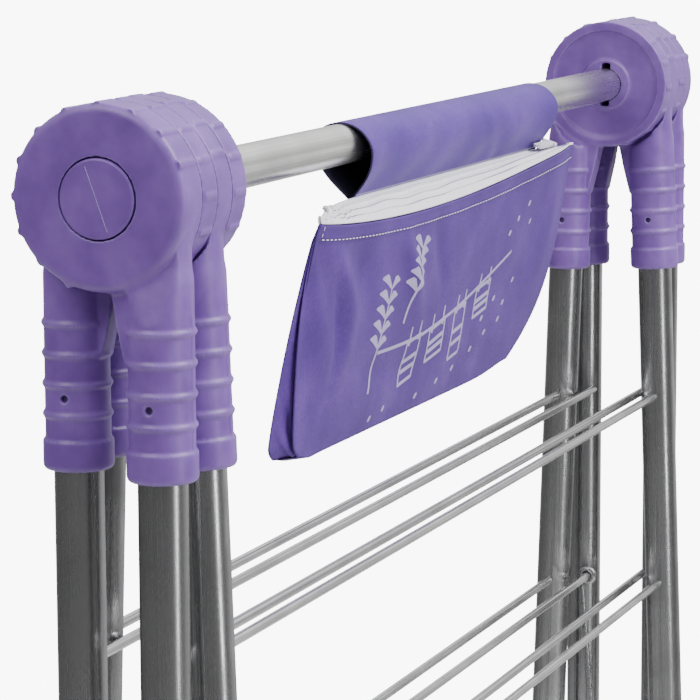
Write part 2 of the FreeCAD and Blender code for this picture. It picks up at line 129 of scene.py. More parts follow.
def drawn_steel(name, dark, light, low_rough, high_rough, across):
    """Welded and polished stainless steel: fine lines run along the tube.

    across is the stretch of the line pattern per axis. The real lines are 0.05 mm wide and are
    drawn 0.7 mm wide, so that they show; the dull clouds over them are 30 mm across."""
    material, tree, shader, place = start_material(name)
    stretched = add(tree, "ShaderNodeMapping", {"Vector": place, "Scale": across})
    lines = add(tree, "ShaderNodeTexNoise", {"Vector": stretched.outputs["Vector"], "Scale": 1.0,
                                             "Detail": 4.0, "Roughness": 0.65})
    cloud = add(tree, "ShaderNodeTexNoise", {"Vector": place, "Scale": 34.0, "Detail": 3.0})
    share = add(tree, "ShaderNodeMath", {0: lines.outputs["Fac"], 1: cloud.outputs["Fac"]},
                operation="MULTIPLY")
    colour = add(tree, "ShaderNodeValToRGB", {"Fac": share.outputs[0]}, [(0.12, dark), (0.40, light)])
    tree.links.new(colour.outputs["Color"], shader.inputs["Base Color"])
    rough = add(tree, "ShaderNodeMapRange", {"Value": share.outputs[0], "From Min": 0.1, "From Max": 0.45,
                                             "To Min": high_rough, "To Max": low_rough})
    tree.links.new(rough.outputs["Result"], shader.inputs["Roughness"])
    shader.inputs["Metallic"].default_value = 1.0
    bump = add(tree, "ShaderNodeBump", {"Height": lines.outputs["Fac"], "Strength": 0.10,
                                        "Distance": 0.00008})
    tree.links.new(bump.outputs["Normal"], shader.inputs["Normal"])
    return material


def coated_polyester(name, dark, middle, light):
    """Woven polyester with a thin coating: a soft sheen, and a weave that just shows.

    The real threads are 0.3 mm apart and are drawn 0.7 mm apart; the UV map is in millimetres.
    Uneven threads show as 1.4 mm flecks, and handling as 38 mm clouds."""
    material, tree, shader, place = start_material(name)
    thread_pitch = 0.7
    cloth = add(tree, "ShaderNodeUVMap", uv_map="cloth").outputs["UV"]
    parts = add(tree, "ShaderNodeSeparateXYZ", {"Vector": cloth})
    waves = []
    for axis in ("X", "Y"):
        turn = add(tree, "ShaderNodeMath", {0: parts.outputs[axis], 1: 2 * math.pi / thread_pitch},
                   operation="MULTIPLY")
        waves.append(add(tree, "ShaderNodeMath", {0: turn.outputs[0]}, operation="SINE").outputs[0])
    weave = add(tree, "ShaderNodeMath", {0: waves[0], 1: waves[1]}, operation="MULTIPLY")
    folds = add(tree, "ShaderNodeTexNoise", {"Vector": place, "Scale": 26.0, "Detail": 4.0,
                                             "Roughness": 0.55})
    slub = add(tree, "ShaderNodeTexNoise", {"Vector": place, "Scale": 700.0, "Detail": 2.0})
    tone = add(tree, "ShaderNodeMath", {0: slub.outputs["Fac"], 1: 0.35, 2: folds.outputs["Fac"]},
               operation="MULTIPLY_ADD")
    woven = add(tree, "ShaderNodeMath", {0: weave.outputs[0], 1: 0.05, 2: tone.outputs[0]},
                operation="MULTIPLY_ADD")
    colour = add(tree, "ShaderNodeValToRGB", {"Fac": woven.outputs[0]},
                 [(0.48, dark), (0.68, middle), (0.90, light)])
    tree.links.new(colour.outputs["Color"], shader.inputs["Base Color"])
    rough = add(tree, "ShaderNodeMapRange", {"Value": folds.outputs["Fac"], "To Min": 0.50, "To Max": 0.68})
    tree.links.new(rough.outputs["Result"], shader.inputs["Roughness"])
    shader.inputs["Specular IOR Level"].default_value = 0.22
    shader.inputs["Sheen Weight"].default_value = 0.04
    shader.inputs["Sheen Roughness"].default_value = 0.4
    height = add(tree, "ShaderNodeMath", {0: weave.outputs[0], 1: 0.25, 2: folds.outputs["Fac"]},
                 operation="MULTIPLY_ADD")
    bump = add(tree, "ShaderNodeBump", {"Height": height.outputs[0], "Strength": 0.35,
                                        "Distance": 0.0004})
    tree.links.new(bump.outputs["Normal"], shader.inputs["Normal"])
    return material


def plain_finish(name, dark, light, rough, grain_size, metallic=0.0, depth=0.0001):
    """A finish with a fine even grain, grain_size in millimetres: rubber, nylon, enamel, wire."""
    material, tree, shader, place = start_material(name)
    grain = add(tree, "ShaderNodeTexNoise", {"Vector": place, "Scale": 1000.0 / grain_size, "Detail": 3.0})
    colour = add(tree, "ShaderNodeValToRGB", {"Fac": grain.outputs["Fac"]}, [(0.35, dark), (0.65, light)])
    tree.links.new(colour.outputs["Color"], shader.inputs["Base Color"])
    spread = add(tree, "ShaderNodeMapRange", {"Value": grain.outputs["Fac"], "To Min": rough - 0.06,
                                              "To Max": rough + 0.06})
    tree.links.new(spread.outputs["Result"], shader.inputs["Roughness"])
    shader.inputs["Metallic"].default_value = metallic
    bump = add(tree, "ShaderNodeBump", {"Height": grain.outputs["Fac"], "Strength": 0.3,
                                        "Distance": depth})
    tree.links.new(bump.outputs["Normal"], shader.inputs["Normal"])
    return material


# Stretch of the drawn steel's lines along x, y and z, per metre
upright = (1500.0, 1500.0, 9.0)
sideways = (9.0, 1500.0, 1500.0)
finish = {
    # Cloudy purple plastic with a waxy highlight, and a painted highlight on the ribs' crests
    "knuckle_plastic": moulded_polypropylene("polypropylene_moulded", "#64428F", "#704D9C", "#7C59A8",
                                             "#9E8BC6"),
    # Grey mirror-like streaks that run down the tubes, and along the bar and rods
    "tube_steel": drawn_steel("stainless_tube_polished", "#8A8A8C", "#B9B9BA", 0.20, 0.32, upright),
    # Painted light: the bar is the tubes' steel, coloured paler for the light it catches
    "bar_steel": drawn_steel("stainless_bar_polished", "#CDCDCC", "#F0F0EE", 0.20, 0.30, sideways),
    "rod_steel": drawn_steel("stainless_rod_satin", "#AFAFB0", "#DADAD9", 0.18, 0.30, sideways),
    # A thin, dull bright line
    "stay_steel": plain_finish("stainless_wire_drawn", "#8E8E90", "#B9B9BA", 0.28, 0.8, 1.0),
    # Painted shade: the ends of the steel pins, sunk in their holes, are coloured a dull dark violet
    "pin_steel": plain_finish("plastic_film_on_pin", "#5B4A78", "#6B5A88", 0.45, 0.6),
    # A line a little paler than the cap it crosses
    "cap_line": plain_finish("polypropylene_flash", "#8B77B4", "#9A87C0", 0.40, 1.0),
    # Milky, slightly warm white
    "washer_nylon": plain_finish("nylon_natural", "#D8D6CC", "#E9E7DF", 0.45, 1.5),
    # Darker and duller than the knuckles
    "foot_rubber": plain_finish("rubber_soft_moulded", "#553783", "#624390", 0.62, 0.7, 0.0, 0.0002),
    # The knuckles' purple without their clouds
    "tip_plastic": plain_finish("polypropylene_plug", "#65428F", "#75529F", 0.42, 1.1),
    # Deep violet cloth that shines only softly; the sleeve is the same cloth, painted a shade lighter for
    # the light on its top
    "bag_fabric": coated_polyester("polyester_coated", "#472C78", "#513383", "#614293"),
    "sleeve_fabric": coated_polyester("polyester_coated_sleeve", "#4C3286", "#573B91", "#674A9F"),
    # Painted shade: the inside of the sleeve is coloured nearly black, for the shade in its mouth
    "sleeve_lining": plain_finish("polyester_uncoated_back", "#1C1630", "#2A2244", 0.85, 0.8),
    # Matt white tape, and violet-grey lines of painted shade for the shaded sides of its woven ridges
    "zip_tape": plain_finish("zip_tape_woven", "#D9D8E2", "#F2F1F6", 0.80, 0.8, 0.0, 0.0003),
    "zip_ridge": plain_finish("zip_tape_shaded_thread", "#7A739C", "#8B84AC", 0.80, 0.5),
    # Glossy off-white
    "slider_metal": plain_finish("zinc_slider_enamelled", "#D6D5DE", "#E8E7EE", 0.34, 0.9),
    # Soft white dashes
    "stitch_thread": plain_finish("polyester_thread", "#D2CEE2", "#ECEAF4", 0.70, 0.5),
    # Pale violet, duller than the cloth's own shine
    "print_ink": plain_finish("screen_print_ink", "#9A90BC", "#ABA2C9", 0.55, 1.2),
}

for row in frame["record"]["subparts"]:
    shown = frame["nodes"][row["node"]]
    # The top bar takes the paler, painted-light copy of the steel
    kind = "bar_steel" if row["node"] == "top_bar" else row["material_slot"]
    shown.data.materials.clear()
    shown.data.materials.append(finish[kind])


# Camera and light

def aim(thing, place, target):
    """Put a light at place and turn it to look at target."""
    thing.location = place
    thing.rotation_euler = (Vector(target) - Vector(place)).to_track_quat("-Z", "Y").to_euler()


def make_camera():
    """Long lens from the front left, a little above the bar."""
    data = bpy.data.cameras.new("camera")
    data.sensor_width = 36.0
    data.lens = 162.3
    data.clip_end = 200.0
    camera = bpy.data.objects.new("camera", data)
    bpy.context.scene.collection.objects.link(camera)
    turn, drop, roll = math.radians(20.743), math.radians(8.545), math.radians(-0.254)
    place = Vector((-1.4012, -0.4922, hub_height + 0.1162))
    ahead = Vector((math.cos(turn) * math.cos(drop), math.sin(turn) * math.cos(drop), -math.sin(drop)))
    level = Vector((math.sin(turn), -math.cos(turn), 0.0))
    above = level.cross(ahead)
    right = level * math.cos(roll) + above * math.sin(roll)
    up = above * math.cos(roll) - level * math.sin(roll)
    matrix = Matrix((right, up, -ahead)).transposed().to_4x4()
    matrix.translation = place
    camera.matrix_world = matrix
    bpy.context.scene.camera = camera


def softbox(name, place, target, width, height, power):
    """White rectangular light, width by height in metres."""
    data = bpy.data.lights.new(name, "AREA")
    data.shape = "RECTANGLE"
    data.size = width
    data.size_y = height
    data.energy = power
    light = bpy.data.objects.new(name, data)
    bpy.context.scene.collection.objects.link(light)
    aim(light, place, target)
    light.visible_camera = False


def make_world():
    """White backdrop for the eye; for reflections a pale far wall, a bright ceiling and a dark rest."""
    world = bpy.data.worlds.new("studio")
    world.use_nodes = True
    bpy.context.scene.world = world
    tree = world.node_tree
    backdrop = tree.nodes["Background"]
    backdrop.inputs["Color"].default_value = (1, 1, 1, 1)
    backdrop.inputs["Strength"].default_value = 9.0
    direction = add(tree, "ShaderNodeTexCoord").outputs["Generated"]
    parts = add(tree, "ShaderNodeSeparateXYZ", {"Vector": direction})
    ceiling = add(tree, "ShaderNodeMapRange", {"Value": parts.outputs["Z"], "From Min": 0.10,
                                               "From Max": 0.75, "To Min": 0.0, "To Max": 0.75},
                  interpolation_type="SMOOTHSTEP")
    wall = add(tree, "ShaderNodeMapRange", {"Value": parts.outputs["X"], "From Min": 0.35,
                                            "From Max": 0.90, "To Min": 0.26, "To Max": 1.15},
               interpolation_type="SMOOTHSTEP")
    height = add(tree, "ShaderNodeMapRange", {"Value": parts.outputs["Z"], "From Min": -0.5,
                                              "From Max": 0.5})
    bands = add(tree, "ShaderNodeValToRGB", {"Fac": height.outputs["Result"]},
                [(0.10, "#8C8C8C"), (0.32, "#D2D2D2"), (0.46, "#FFFFFF"), (0.62, "#C4C4C4"),
                 (0.88, "#FFFFFF")])
    banded = add(tree, "ShaderNodeMath", {0: wall.outputs["Result"], 1: bands.outputs["Color"]},
                 operation="MULTIPLY")
    level = add(tree, "ShaderNodeMath", {0: ceiling.outputs["Result"], 1: banded.outputs[0]},
                operation="ADD")
    room = add(tree, "ShaderNodeBackground", {"Color": (1, 1, 1, 1), "Strength": level.outputs[0]})
    eye = add(tree, "ShaderNodeLightPath").outputs["Is Camera Ray"]
    both = add(tree, "ShaderNodeMixShader", {0: eye, 1: room.outputs[0], 2: backdrop.outputs[0]})
    tree.links.new(both.outputs[0], tree.nodes["World Output"].inputs["Surface"])


def make_studio():
    """Soft top light, a broad dim box to the left, a tall narrow strip to the front, a pale floor."""
    make_world()
    softbox("top_box", (0.1, -1.5, 2.6), (-0.1, 0.0, 0.95), 1.3, 1.3, 74)
    softbox("front_strip", (-0.5, -1.7, 1.15), (-0.1, 0.0, 1.0), 0.16, 1.5, 10)
    softbox("left_box", (-1.15, 0.35, 1.95), (-0.3, 0.0, 1.0), 0.8, 0.8, 10)
    corners, floor_radius = 96, 2.3
    turn = np.arange(corners) * 2 * np.pi / corners
    ring = np.stack([floor_radius * np.cos(turn), floor_radius * np.sin(turn), 0 * turn], axis=1)
    paint = plain_finish("floor_paint_pale", "#DEDEDD", "#E6E6E5", 0.7, 3.0)
    smooth_mesh("floor", ring, [list(range(corners))], paint)


# Meshes from numpy

def smooth_mesh(name, points, faces, material, smooth=True):
    """Mesh object from an (n, 3) array in metres and rows of corner numbers."""
    mesh = bpy.data.meshes.new(name)
    mesh.from_pydata(points.tolist(), [], [list(face) for face in faces])
    mesh.materials.append(material)
    mesh.polygons.foreach_set("use_smooth", np.full(len(mesh.polygons), smooth))
    mesh.update()
    piece = bpy.data.objects.new(name, mesh)
    bpy.context.scene.collection.objects.link(piece)
    return piece


def grid_faces(rows, columns, closed=False):
    """Quads of a rows by columns grid, whose columns may join up round a closed section."""
    last = columns if closed else columns - 1
    row, column = np.meshgrid(np.arange(rows - 1), np.arange(last), indexing="ij")
    ahead = (column + 1) % columns
    corners = [row * columns + column, row * columns + ahead, (row + 1) * columns + ahead,
               (row + 1) * columns + column]
    return np.stack([c.ravel() for c in corners], axis=1)


def set_cloth_map(piece, across, along):
    """UV map in millimetres of cloth, from one pair of numbers per vertex."""
    layer = piece.data.uv_layers.new(name="cloth")
    corner = np.empty(len(piece.data.loops), dtype=np.int32)
    piece.data.loops.foreach_get("vertex_index", corner)
    layer.data.foreach_set("uv", np.stack([across, along], axis=1)[corner].ravel())


def thicken(piece, thickness, offset=-1.0):
    """Give a sheet its wall."""
    wall = piece.modifiers.new("wall", "SOLIDIFY")
    wall.thickness = thickness
    wall.offset = offset


def wear(piece, body, slot_name, *nodes):
    """Ride on a body and stand for CAD nodes, which are hidden; slot_name is not used."""
    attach(piece, body)
    if nodes:
        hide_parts(*nodes)
    return piece


def bump_of(values, centre, width):
    """Bell curve, 1 at centre and one third at width away."""
    return np.exp(-((values - centre) / width) ** 2)


# Peg bag: all its surfaces are in millimetres along the bar (x), across it (y) and up from the
# bar's axis (z); s runs from 0 at the left end to 1 at the right, w from 0 at the zip to 1 at the hem.

bag_left_top = -175.0
bag_left_hem = -184.0
bag_right_top = 192.0
bag_right_hem = 126.0
hem_drop = -132.5
seam_height = -26.5
zip_line_y = -6.0
zip_line_z = -26.2
cloth_thickness = 0.8
tape_thickness = 0.7


def to_frame(x, y, z):
    """Millimetres from the bar's axis to metres in the frame."""
    return np.stack([x, y, z + hub_height / MM], axis=-1).reshape(-1, 3) * MM


def panel_x(s, w):
    """Ends of the bag: the left one leans out downwards, the right one curves in to the hem.

    x = left + (right - left) s, where left falls away with w^0.7 and right with w^4.5."""
    left = bag_left_top + (bag_left_hem - bag_left_top) * w ** 0.7
    left = left + 7.0 * np.clip((w - 0.93) / 0.07, 0, 1) ** 2
    right = bag_right_top - 6.0 * w + (bag_right_hem - bag_right_top + 6.0) * w ** 4.5
    return left + (right - left) * s


def front_edge(s):
    """Top edge of the front panel: pinched at both ends, and sagging between them.

    z = -28.5 + 4.5 s - 10.5 sin(pi s)^0.8 (1 - s / 2)."""
    y = -16.5 + 2.5 * bump_of(s, 0.0, 0.06) + 2.0 * bump_of(s, 1.0, 0.05)
    z = -28.5 + 4.5 * s - 10.5 * np.sin(np.pi * np.clip(s, 0, 1)) ** 0.8 * (1 - 0.5 * s)
    return y, z


def back_edge(s):
    """Top edge of the back panel: under the sleeve's seam, and out to the front at both ends."""
    pinch = np.clip(bump_of(s, 0.0, 0.10) + bump_of(s, 1.0, 0.05), 0, 1)
    y = 1.5 - 15.5 * pinch
    z = seam_height - 1.5 * bump_of(s, 0.0, 0.10) + 1.5 * bump_of(s, 1.0, 0.05)
    return y, z


def creases(x, z):
    """Folds that fan out of the upper left corner, two bent ones beside them, and broad dents."""
    turn = np.arctan2(z + 24.0, x + 182.0)
    reach = np.hypot(x + 182.0, z + 24.0)
    fan = 2.2 * np.sin(turn * 13.0 + 0.012 * reach) * bump_of(reach, 46.0, 30)
    bend = x + 0.30 * (z + 60) + 0.010 * (z + 72) ** 2
    pull = 3.4 * bump_of(bend, -143.0, 4.0) * bump_of(z, -74.0, 26)
    pull = pull - 2.2 * bump_of(bend, -133.0, 7) * bump_of(z, -72.0, 28)
    patch = 3.4 * bump_of(x + 0.5 * z, -146.0, 13) * bump_of(z, -50.0, 20)
    dart = -4.0 * bump_of(x + 0.75 * z, -102.0, 9) * bump_of(z, -58.0, 24)
    ridge = 2.4 * bump_of(x + 0.60 * z, -52.0, 8) * bump_of(z, -56.0, 22)
    right = 1.6 * np.sin((x - 0.6 * z) / 12.0) * bump_of(x, 145.0, 40) * bump_of(z, -62, 34)
    lower = 1.7 * bump_of(z + 0.16 * x, -118.0, 7) * bump_of(x, -70.0, 60)
    dents = 0.8 * np.sin(x / 24.0 + 1.7 * np.sin(z / 23.0 + x / 61.0)) * np.sin(z / 17.0 + x / 90.0)
    ripple = 0.5 * np.sin(x / 6.3 + z / 21.0) * bump_of(z, -44.0, 11)
    return fan + pull + patch + dart + ridge + right + lower + dents + ripple


def front_panel(s, w):
    """Front panel from its top edge to the hem: nearly flat, bellied forward by 2 mm.

    y = top + (hem - top) (1 - (1 - w)^fall) + (creases - 2.2) inside, and z is linear in w, with
    inside = sin(pi s)^0.4 sin(pi w)^0.7."""
    top_y, top_z = front_edge(s)
    fall = 1.05 + 1.0 * bump_of(s, 0.0, 0.05)
    down = 1 - (1 - w) ** fall
    x = panel_x(s, w) + 12.0 * (1 - s) ** 4 * np.sin(np.pi * w ** 1.3 / 1.9) ** 1.2
    z = top_z + (hem_drop + 2.5 * bump_of(s, 0.0, 0.03) + 3.0 * bump_of(s, 1.0, 0.10) - top_z) * w
    inside = np.clip(np.sin(np.pi * np.clip(s, 0, 1)), 0, 1) ** 0.4 * np.sin(np.pi * w) ** 0.7
    y = top_y + (0.5 - 1.5 * bump_of(s, 0.0, 0.06) - top_y) * down - 2.2 * inside
    y = y + creases(x, z) * inside
    hem_fold = 0.7 * np.clip((0.066 - w) / 0.006, 0, 1) + 0.5 * bump_of(w, 0.0, 0.012)
    return x, y - hem_fold, z


def back_panel(s, w):
    """Back panel: bellied backwards by 5 mm, with a boxed corner low on the left.

    y = top + (hem - top) (1 - (1 - w)^1.3) + (4.6 + 0.7 creases) inside, and z is linear in w, with
    inside = sin(pi s)^0.5 sin(pi w)^0.8."""
    top_y, top_z = back_edge(s)
    down = 1 - (1 - w) ** 1.3
    x = panel_x(s, w)
    z = top_z + (hem_drop + 2.5 * bump_of(s, 0.0, 0.03) + 3.0 * bump_of(s, 1.0, 0.10) - top_z) * w
    inside = np.clip(np.sin(np.pi * np.clip(s, 0, 1)), 0, 1) ** 0.5 * np.sin(np.pi * w) ** 0.8
    y = top_y + (3.6 + 3.4 * bump_of(s, 0.0, 0.07) - top_y) * down + 4.6 * inside
    return x, y + 0.7 * creases(-x, z) * inside, z


def make_bag():
    """Sewn pouch: rows run down it, columns go round it, front, right seam, back, left gusset."""
    rows, across, seam, gusset = 110, 190, 5, 13
    w = np.linspace(0, 1, rows)[:, None]
    s = np.linspace(0, 1, across)[None, :]
    front = np.stack(np.broadcast_arrays(*front_panel(s, w)), axis=-1)
    back = np.stack(np.broadcast_arrays(*back_panel(s, w)), axis=-1)[:, ::-1]
    q = np.linspace(0, 1, seam + 2)[None, 1:-1, None]
    right = front[:, -1:] * (1 - q) + back[:, :1] * q
    right = right + np.array([1.2, 0, 0]) * np.sin(np.pi * q)
    g = np.linspace(0, 1, gusset + 2)[None, 1:-1, None]
    left = back[:, -1:] * (1 - g) + front[:, :1] * g
    tuck = 3.2 * np.sin(np.pi * g) ** 1.5 - 2.2 * bump_of(g, 0.95, 0.05) + 3.4 * bump_of(g, 0.85, 0.06)
    fold_line = w[:, :, None] - 0.25 * g
    corner = 2.6 * bump_of(fold_line, 0.72, 0.05) - 2.0 * bump_of(fold_line, 0.80, 0.04)
    pushed_in = (tuck + corner * np.sin(np.pi * g)) * np.clip(w[:, :, None] * 2.5, 0, 1)
    left = left + np.array([1.0, 0, 0]) * pushed_in
    loop = np.concatenate([front, right, back, left], axis=1)
    columns = loop.shape[1]
    points = to_frame(loop[..., 0], loop[..., 1], loop[..., 2])
    faces = grid_faces(rows, columns, closed=True)[:, ::-1]
    base = (rows - 1) * columns
    front_row = base + np.arange(across)
    back_row = base + 2 * across + seam - 1 - np.arange(across)
    hem = np.stack([front_row[:-1], front_row[1:], back_row[1:], back_row[:-1]], axis=1)[:, ::-1]
    piece = smooth_mesh("peg_bag_pouch", points, np.concatenate([faces, hem]), finish["bag_fabric"])
    step = np.concatenate([np.zeros(1), np.linalg.norm(np.diff(loop[rows // 2], axis=0), axis=1)])
    round_it = np.broadcast_to(np.cumsum(step)[None, :], (rows, columns))
    down_it = np.broadcast_to(w * (seam_height - hem_drop), (rows, columns))
    set_cloth_map(piece, round_it.ravel(), down_it.ravel())
    thicken(piece, cloth_thickness * MM)
    return wear(piece, "bag", "bag_fabric", "peg_bag")


def lid_surface(s, q):
    """Zip lid from the back edge (q 0) over the teeth (q 0.5) down to the front edge (q 1).

    The teeth keep to one straight line for the slider; the tape is gathered at the left end.
    Between its three lines the lid rises by 1.2 sin(pi first) and 1.5 sin(pi second)."""
    front_y, front_z = front_edge(s)
    back_y, back_z = back_edge(s)
    end = np.clip(bump_of(s, 0.0, 0.09) + bump_of(s, 1.0, 0.03), 0, 1)
    middle_y = zip_line_y * (1 - end) + (0.35 * back_y + 0.65 * front_y) * end
    middle_z = zip_line_z * (1 - end) + (0.5 * back_z + 0.5 * front_z + 1.5 - 3.2 * s) * end
    first = np.clip(q * 2, 0, 1)
    second = np.clip(q * 2 - 1, 0, 1)
    y = back_y + (middle_y - back_y) * first + (front_y - 0.3 - middle_y) * second
    z = back_z + (middle_z - back_z) * first + (front_z + 0.4 - middle_z) * second ** 1.25
    crown = 1 - 0.7 * bump_of(s, 1.0, 0.06)
    z = z + (1.2 * np.sin(np.pi * first) + 1.5 * np.sin(np.pi * second)) * crown
    z = z - 1.3 * bump_of(q, 0.36, 0.035) - 1.3 * bump_of(q, 0.64, 0.035) - 0.9 * bump_of(q, 0.85, 0.03)
    bunch = 3.2 * bump_of(s, 0.045, 0.022) - 1.6 * bump_of(s, 0.085, 0.020)
    z = z + bunch * np.sin(np.pi * q) + 1.6 * bump_of(s, 0.99, 0.010) * np.sin(np.pi * q) ** 0.7
    ruffle = bump_of(s, 0.03, 0.07) * 1.5 * np.sin(s * 300.0 + 5.0 * q)
    slack = 1.3 * np.sin(s * 46.0 + 4.0 * q) * bump_of(s, 0.30, 0.20) * np.clip(q * 2 - 0.9, 0, 1)
    rows_of_thread = 0.20 * np.cos(q * 2 * np.pi * 9) * np.sin(np.pi * q)
    tape = (ruffle + slack) * np.sin(np.pi * q) + rows_of_thread
    x = bag_left_top + 1.0 + (bag_right_top - bag_left_top - 2.0) * s
    return x, y, z + tape


def make_zip_tape():
    """Lid of the mouth: both woven tapes as one sheet."""
    rows, columns = 380, 61
    s = np.linspace(0, 1, rows)[:, None]
    q = np.linspace(0, 1, columns)[None, :]
    x, y, z = np.broadcast_arrays(*lid_surface(s, q))
    faces = grid_faces(rows, columns)[:, ::-1]
    piece = smooth_mesh("zip_tapes", to_frame(x, y, z), faces, finish["zip_tape"])
    thicken(piece, tape_thickness * MM)
    return wear(piece, "bag", "zip_tape", "zip_tape")


def bead(length, width, height, around=6, rows=5):
    """Rounded bead along x: an ellipse section whose size follows a half circle along it.

    x = -cos(t) length / 2, y = sin(t) cos(a) width / 2, z = sin(t) sin(a) height / 2."""
    t = np.linspace(0.08, 0.92, rows)[:, None] * np.pi
    a = np.arange(around)[None, :] * 2 * np.pi / around
    x = -np.cos(t) * length / 2 + 0 * a
    points = np.stack([x, np.sin(t) * np.cos(a) * width / 2, np.sin(t) * np.sin(a) * height / 2], axis=-1)
    sides = grid_faces(rows, around, closed=True)
    caps = np.stack([np.arange(around)[::-1], np.arange(around) + (rows - 1) * around])
    return points.reshape(-1, 3) * MM, sides, caps


def repeat_solid(name, solid, centres, along, up, material):
    """One small closed solid repeated at many centres, each turned to its own two directions."""
    local, sides, caps = solid
    across = np.cross(up, along)
    frame_of = np.stack([along, across, up], axis=1)
    points = centres[:, None, :] + np.einsum("vk,nkj->nvj", local, frame_of)
    shift = np.arange(len(centres))[:, None, None] * len(local)
    faces = (sides[None] + shift).reshape(-1, sides.shape[1]).tolist()
    faces += (caps[None] + shift).reshape(-1, caps.shape[1]).tolist()
    return smooth_mesh(name, points.reshape(-1, 3), faces, material)


def tangents(points):
    """Unit directions along a path."""
    run = np.gradient(points, axis=0)
    return run / np.linalg.norm(run, axis=1, keepdims=True)


def evenly(path, spacing):
    """Points at an even spacing along a dense path, in metres."""
    steps = np.linalg.norm(np.diff(path, axis=0), axis=1)
    reach = np.concatenate([[0.0], np.cumsum(steps)])
    places = np.arange(spacing / 2, reach[-1], spacing)
    return np.stack([np.interp(places, reach, path[:, axis]) for axis in range(3)], axis=1)


def level_directions(path, up_hint):
    """Directions along a path, and the part of up_hint that is square to them."""
    along = tangents(path)
    up = up_hint - np.sum(up_hint * along, axis=1, keepdims=True) * along
    return along, up / np.linalg.norm(up, axis=1, keepdims=True)


def sew(name, path, out, length, gap, width, thread="stitch_thread"):
    """Running stitch of rounded beads along a path that lies on the cloth, standing out of it."""
    centres = evenly(path, (length + gap) * MM)
    along, up = level_directions(centres, np.broadcast_to(np.array(out, dtype=float), centres.shape))
    stitch, lift = bead(length, width, width * 0.7), 0.15 * MM
    piece = repeat_solid(name, stitch, centres + up * lift, along, up, finish[thread])
    return wear(piece, "bag", "zip_tape")


def make_stitching():
    """White running stitch under the top edge, and a shorter row down beside the left end."""
    s = np.linspace(0.012, 0.988, 500)
    row_depth, proud = 6.2 / 105.0, np.array([0, -0.3, 0]) * MM
    top = to_frame(*front_panel(s, row_depth + 0 * s)) + proud
    sew("stitch_row_top", top, (0, -1, 0), 2.3, 1.5, 0.55)
    w = np.linspace(0.0, 0.058, 30)
    end = to_frame(*front_panel(s[0] + 0 * w, w)) + proud
    sew("stitch_row_end", end, (0, -1, 0), 1.8, 1.2, 0.55)


def make_teeth():
    """Two rows of nylon coil, 1.5 mm a turn, over the middle of the lid, and four raised lines in painted
    shade for the shaded sides of the tape's woven ridges.
    """
    coil_pitch = 1.5
    s = np.linspace(0.035, 0.985, 900)
    path = to_frame(*lid_surface(s, 0.5 + 0 * s))
    centres = evenly(path, coil_pitch * MM)
    along, up = level_directions(centres, np.broadcast_to(np.array([0.0, 0.1, 1.0]), centres.shape))
    across = np.cross(up, along)
    loop = bead(0.95, 2.7, 1.6, around=6, rows=4)
    for name, side, first in (("zip_coil_back", 1, 0), ("zip_coil_front", -1, 1)):
        places = centres + (across * side * 1.25 + up * 0.85 + along * side * coil_pitch / 4) * MM
        piece = repeat_solid(name, loop, places[first:], along[first:], up[first:], finish["zip_tape"])
        wear(piece, "bag", "zip_tape")
    # Lines of painted shade: violet-grey beads where the woven ridges fall into shade
    for name, q in (("zip_line_back", 0.075), ("zip_line_mid_back", 0.165), ("zip_line_mid_front", 0.765),
                    ("zip_line_front", 0.87)):
        line = to_frame(*lid_surface(s, q + 0.02 * np.sin(s * 21.0))) + np.array([0, 0, 0.45]) * MM
        sew(name, line, (0, 0, 1), 2.6, 0.15, 1.1, "zip_ridge")


def sleeve_section(t):
    """Drop-shaped section round the bar: t runs 0 to 1 from the seam, over the front, back to it.

    z = top - (top - bottom) (1 - cos h) / 2 and y = 17.2 sin(h) cos(h / 2)^1.05, where h is the
    angle from the top of the bar, pi at the seam."""
    turn = np.pi * (1 - 2 * t)
    half = np.abs(turn)
    top, bottom = bar_radius / MM + 0.7, seam_height + 0.6
    z = top - (top - bottom) * (1 - np.cos(half)) / 2
    y = -np.sign(turn) * 17.2 * np.sin(half) * np.cos(half / 2) ** 1.05
    return y, z


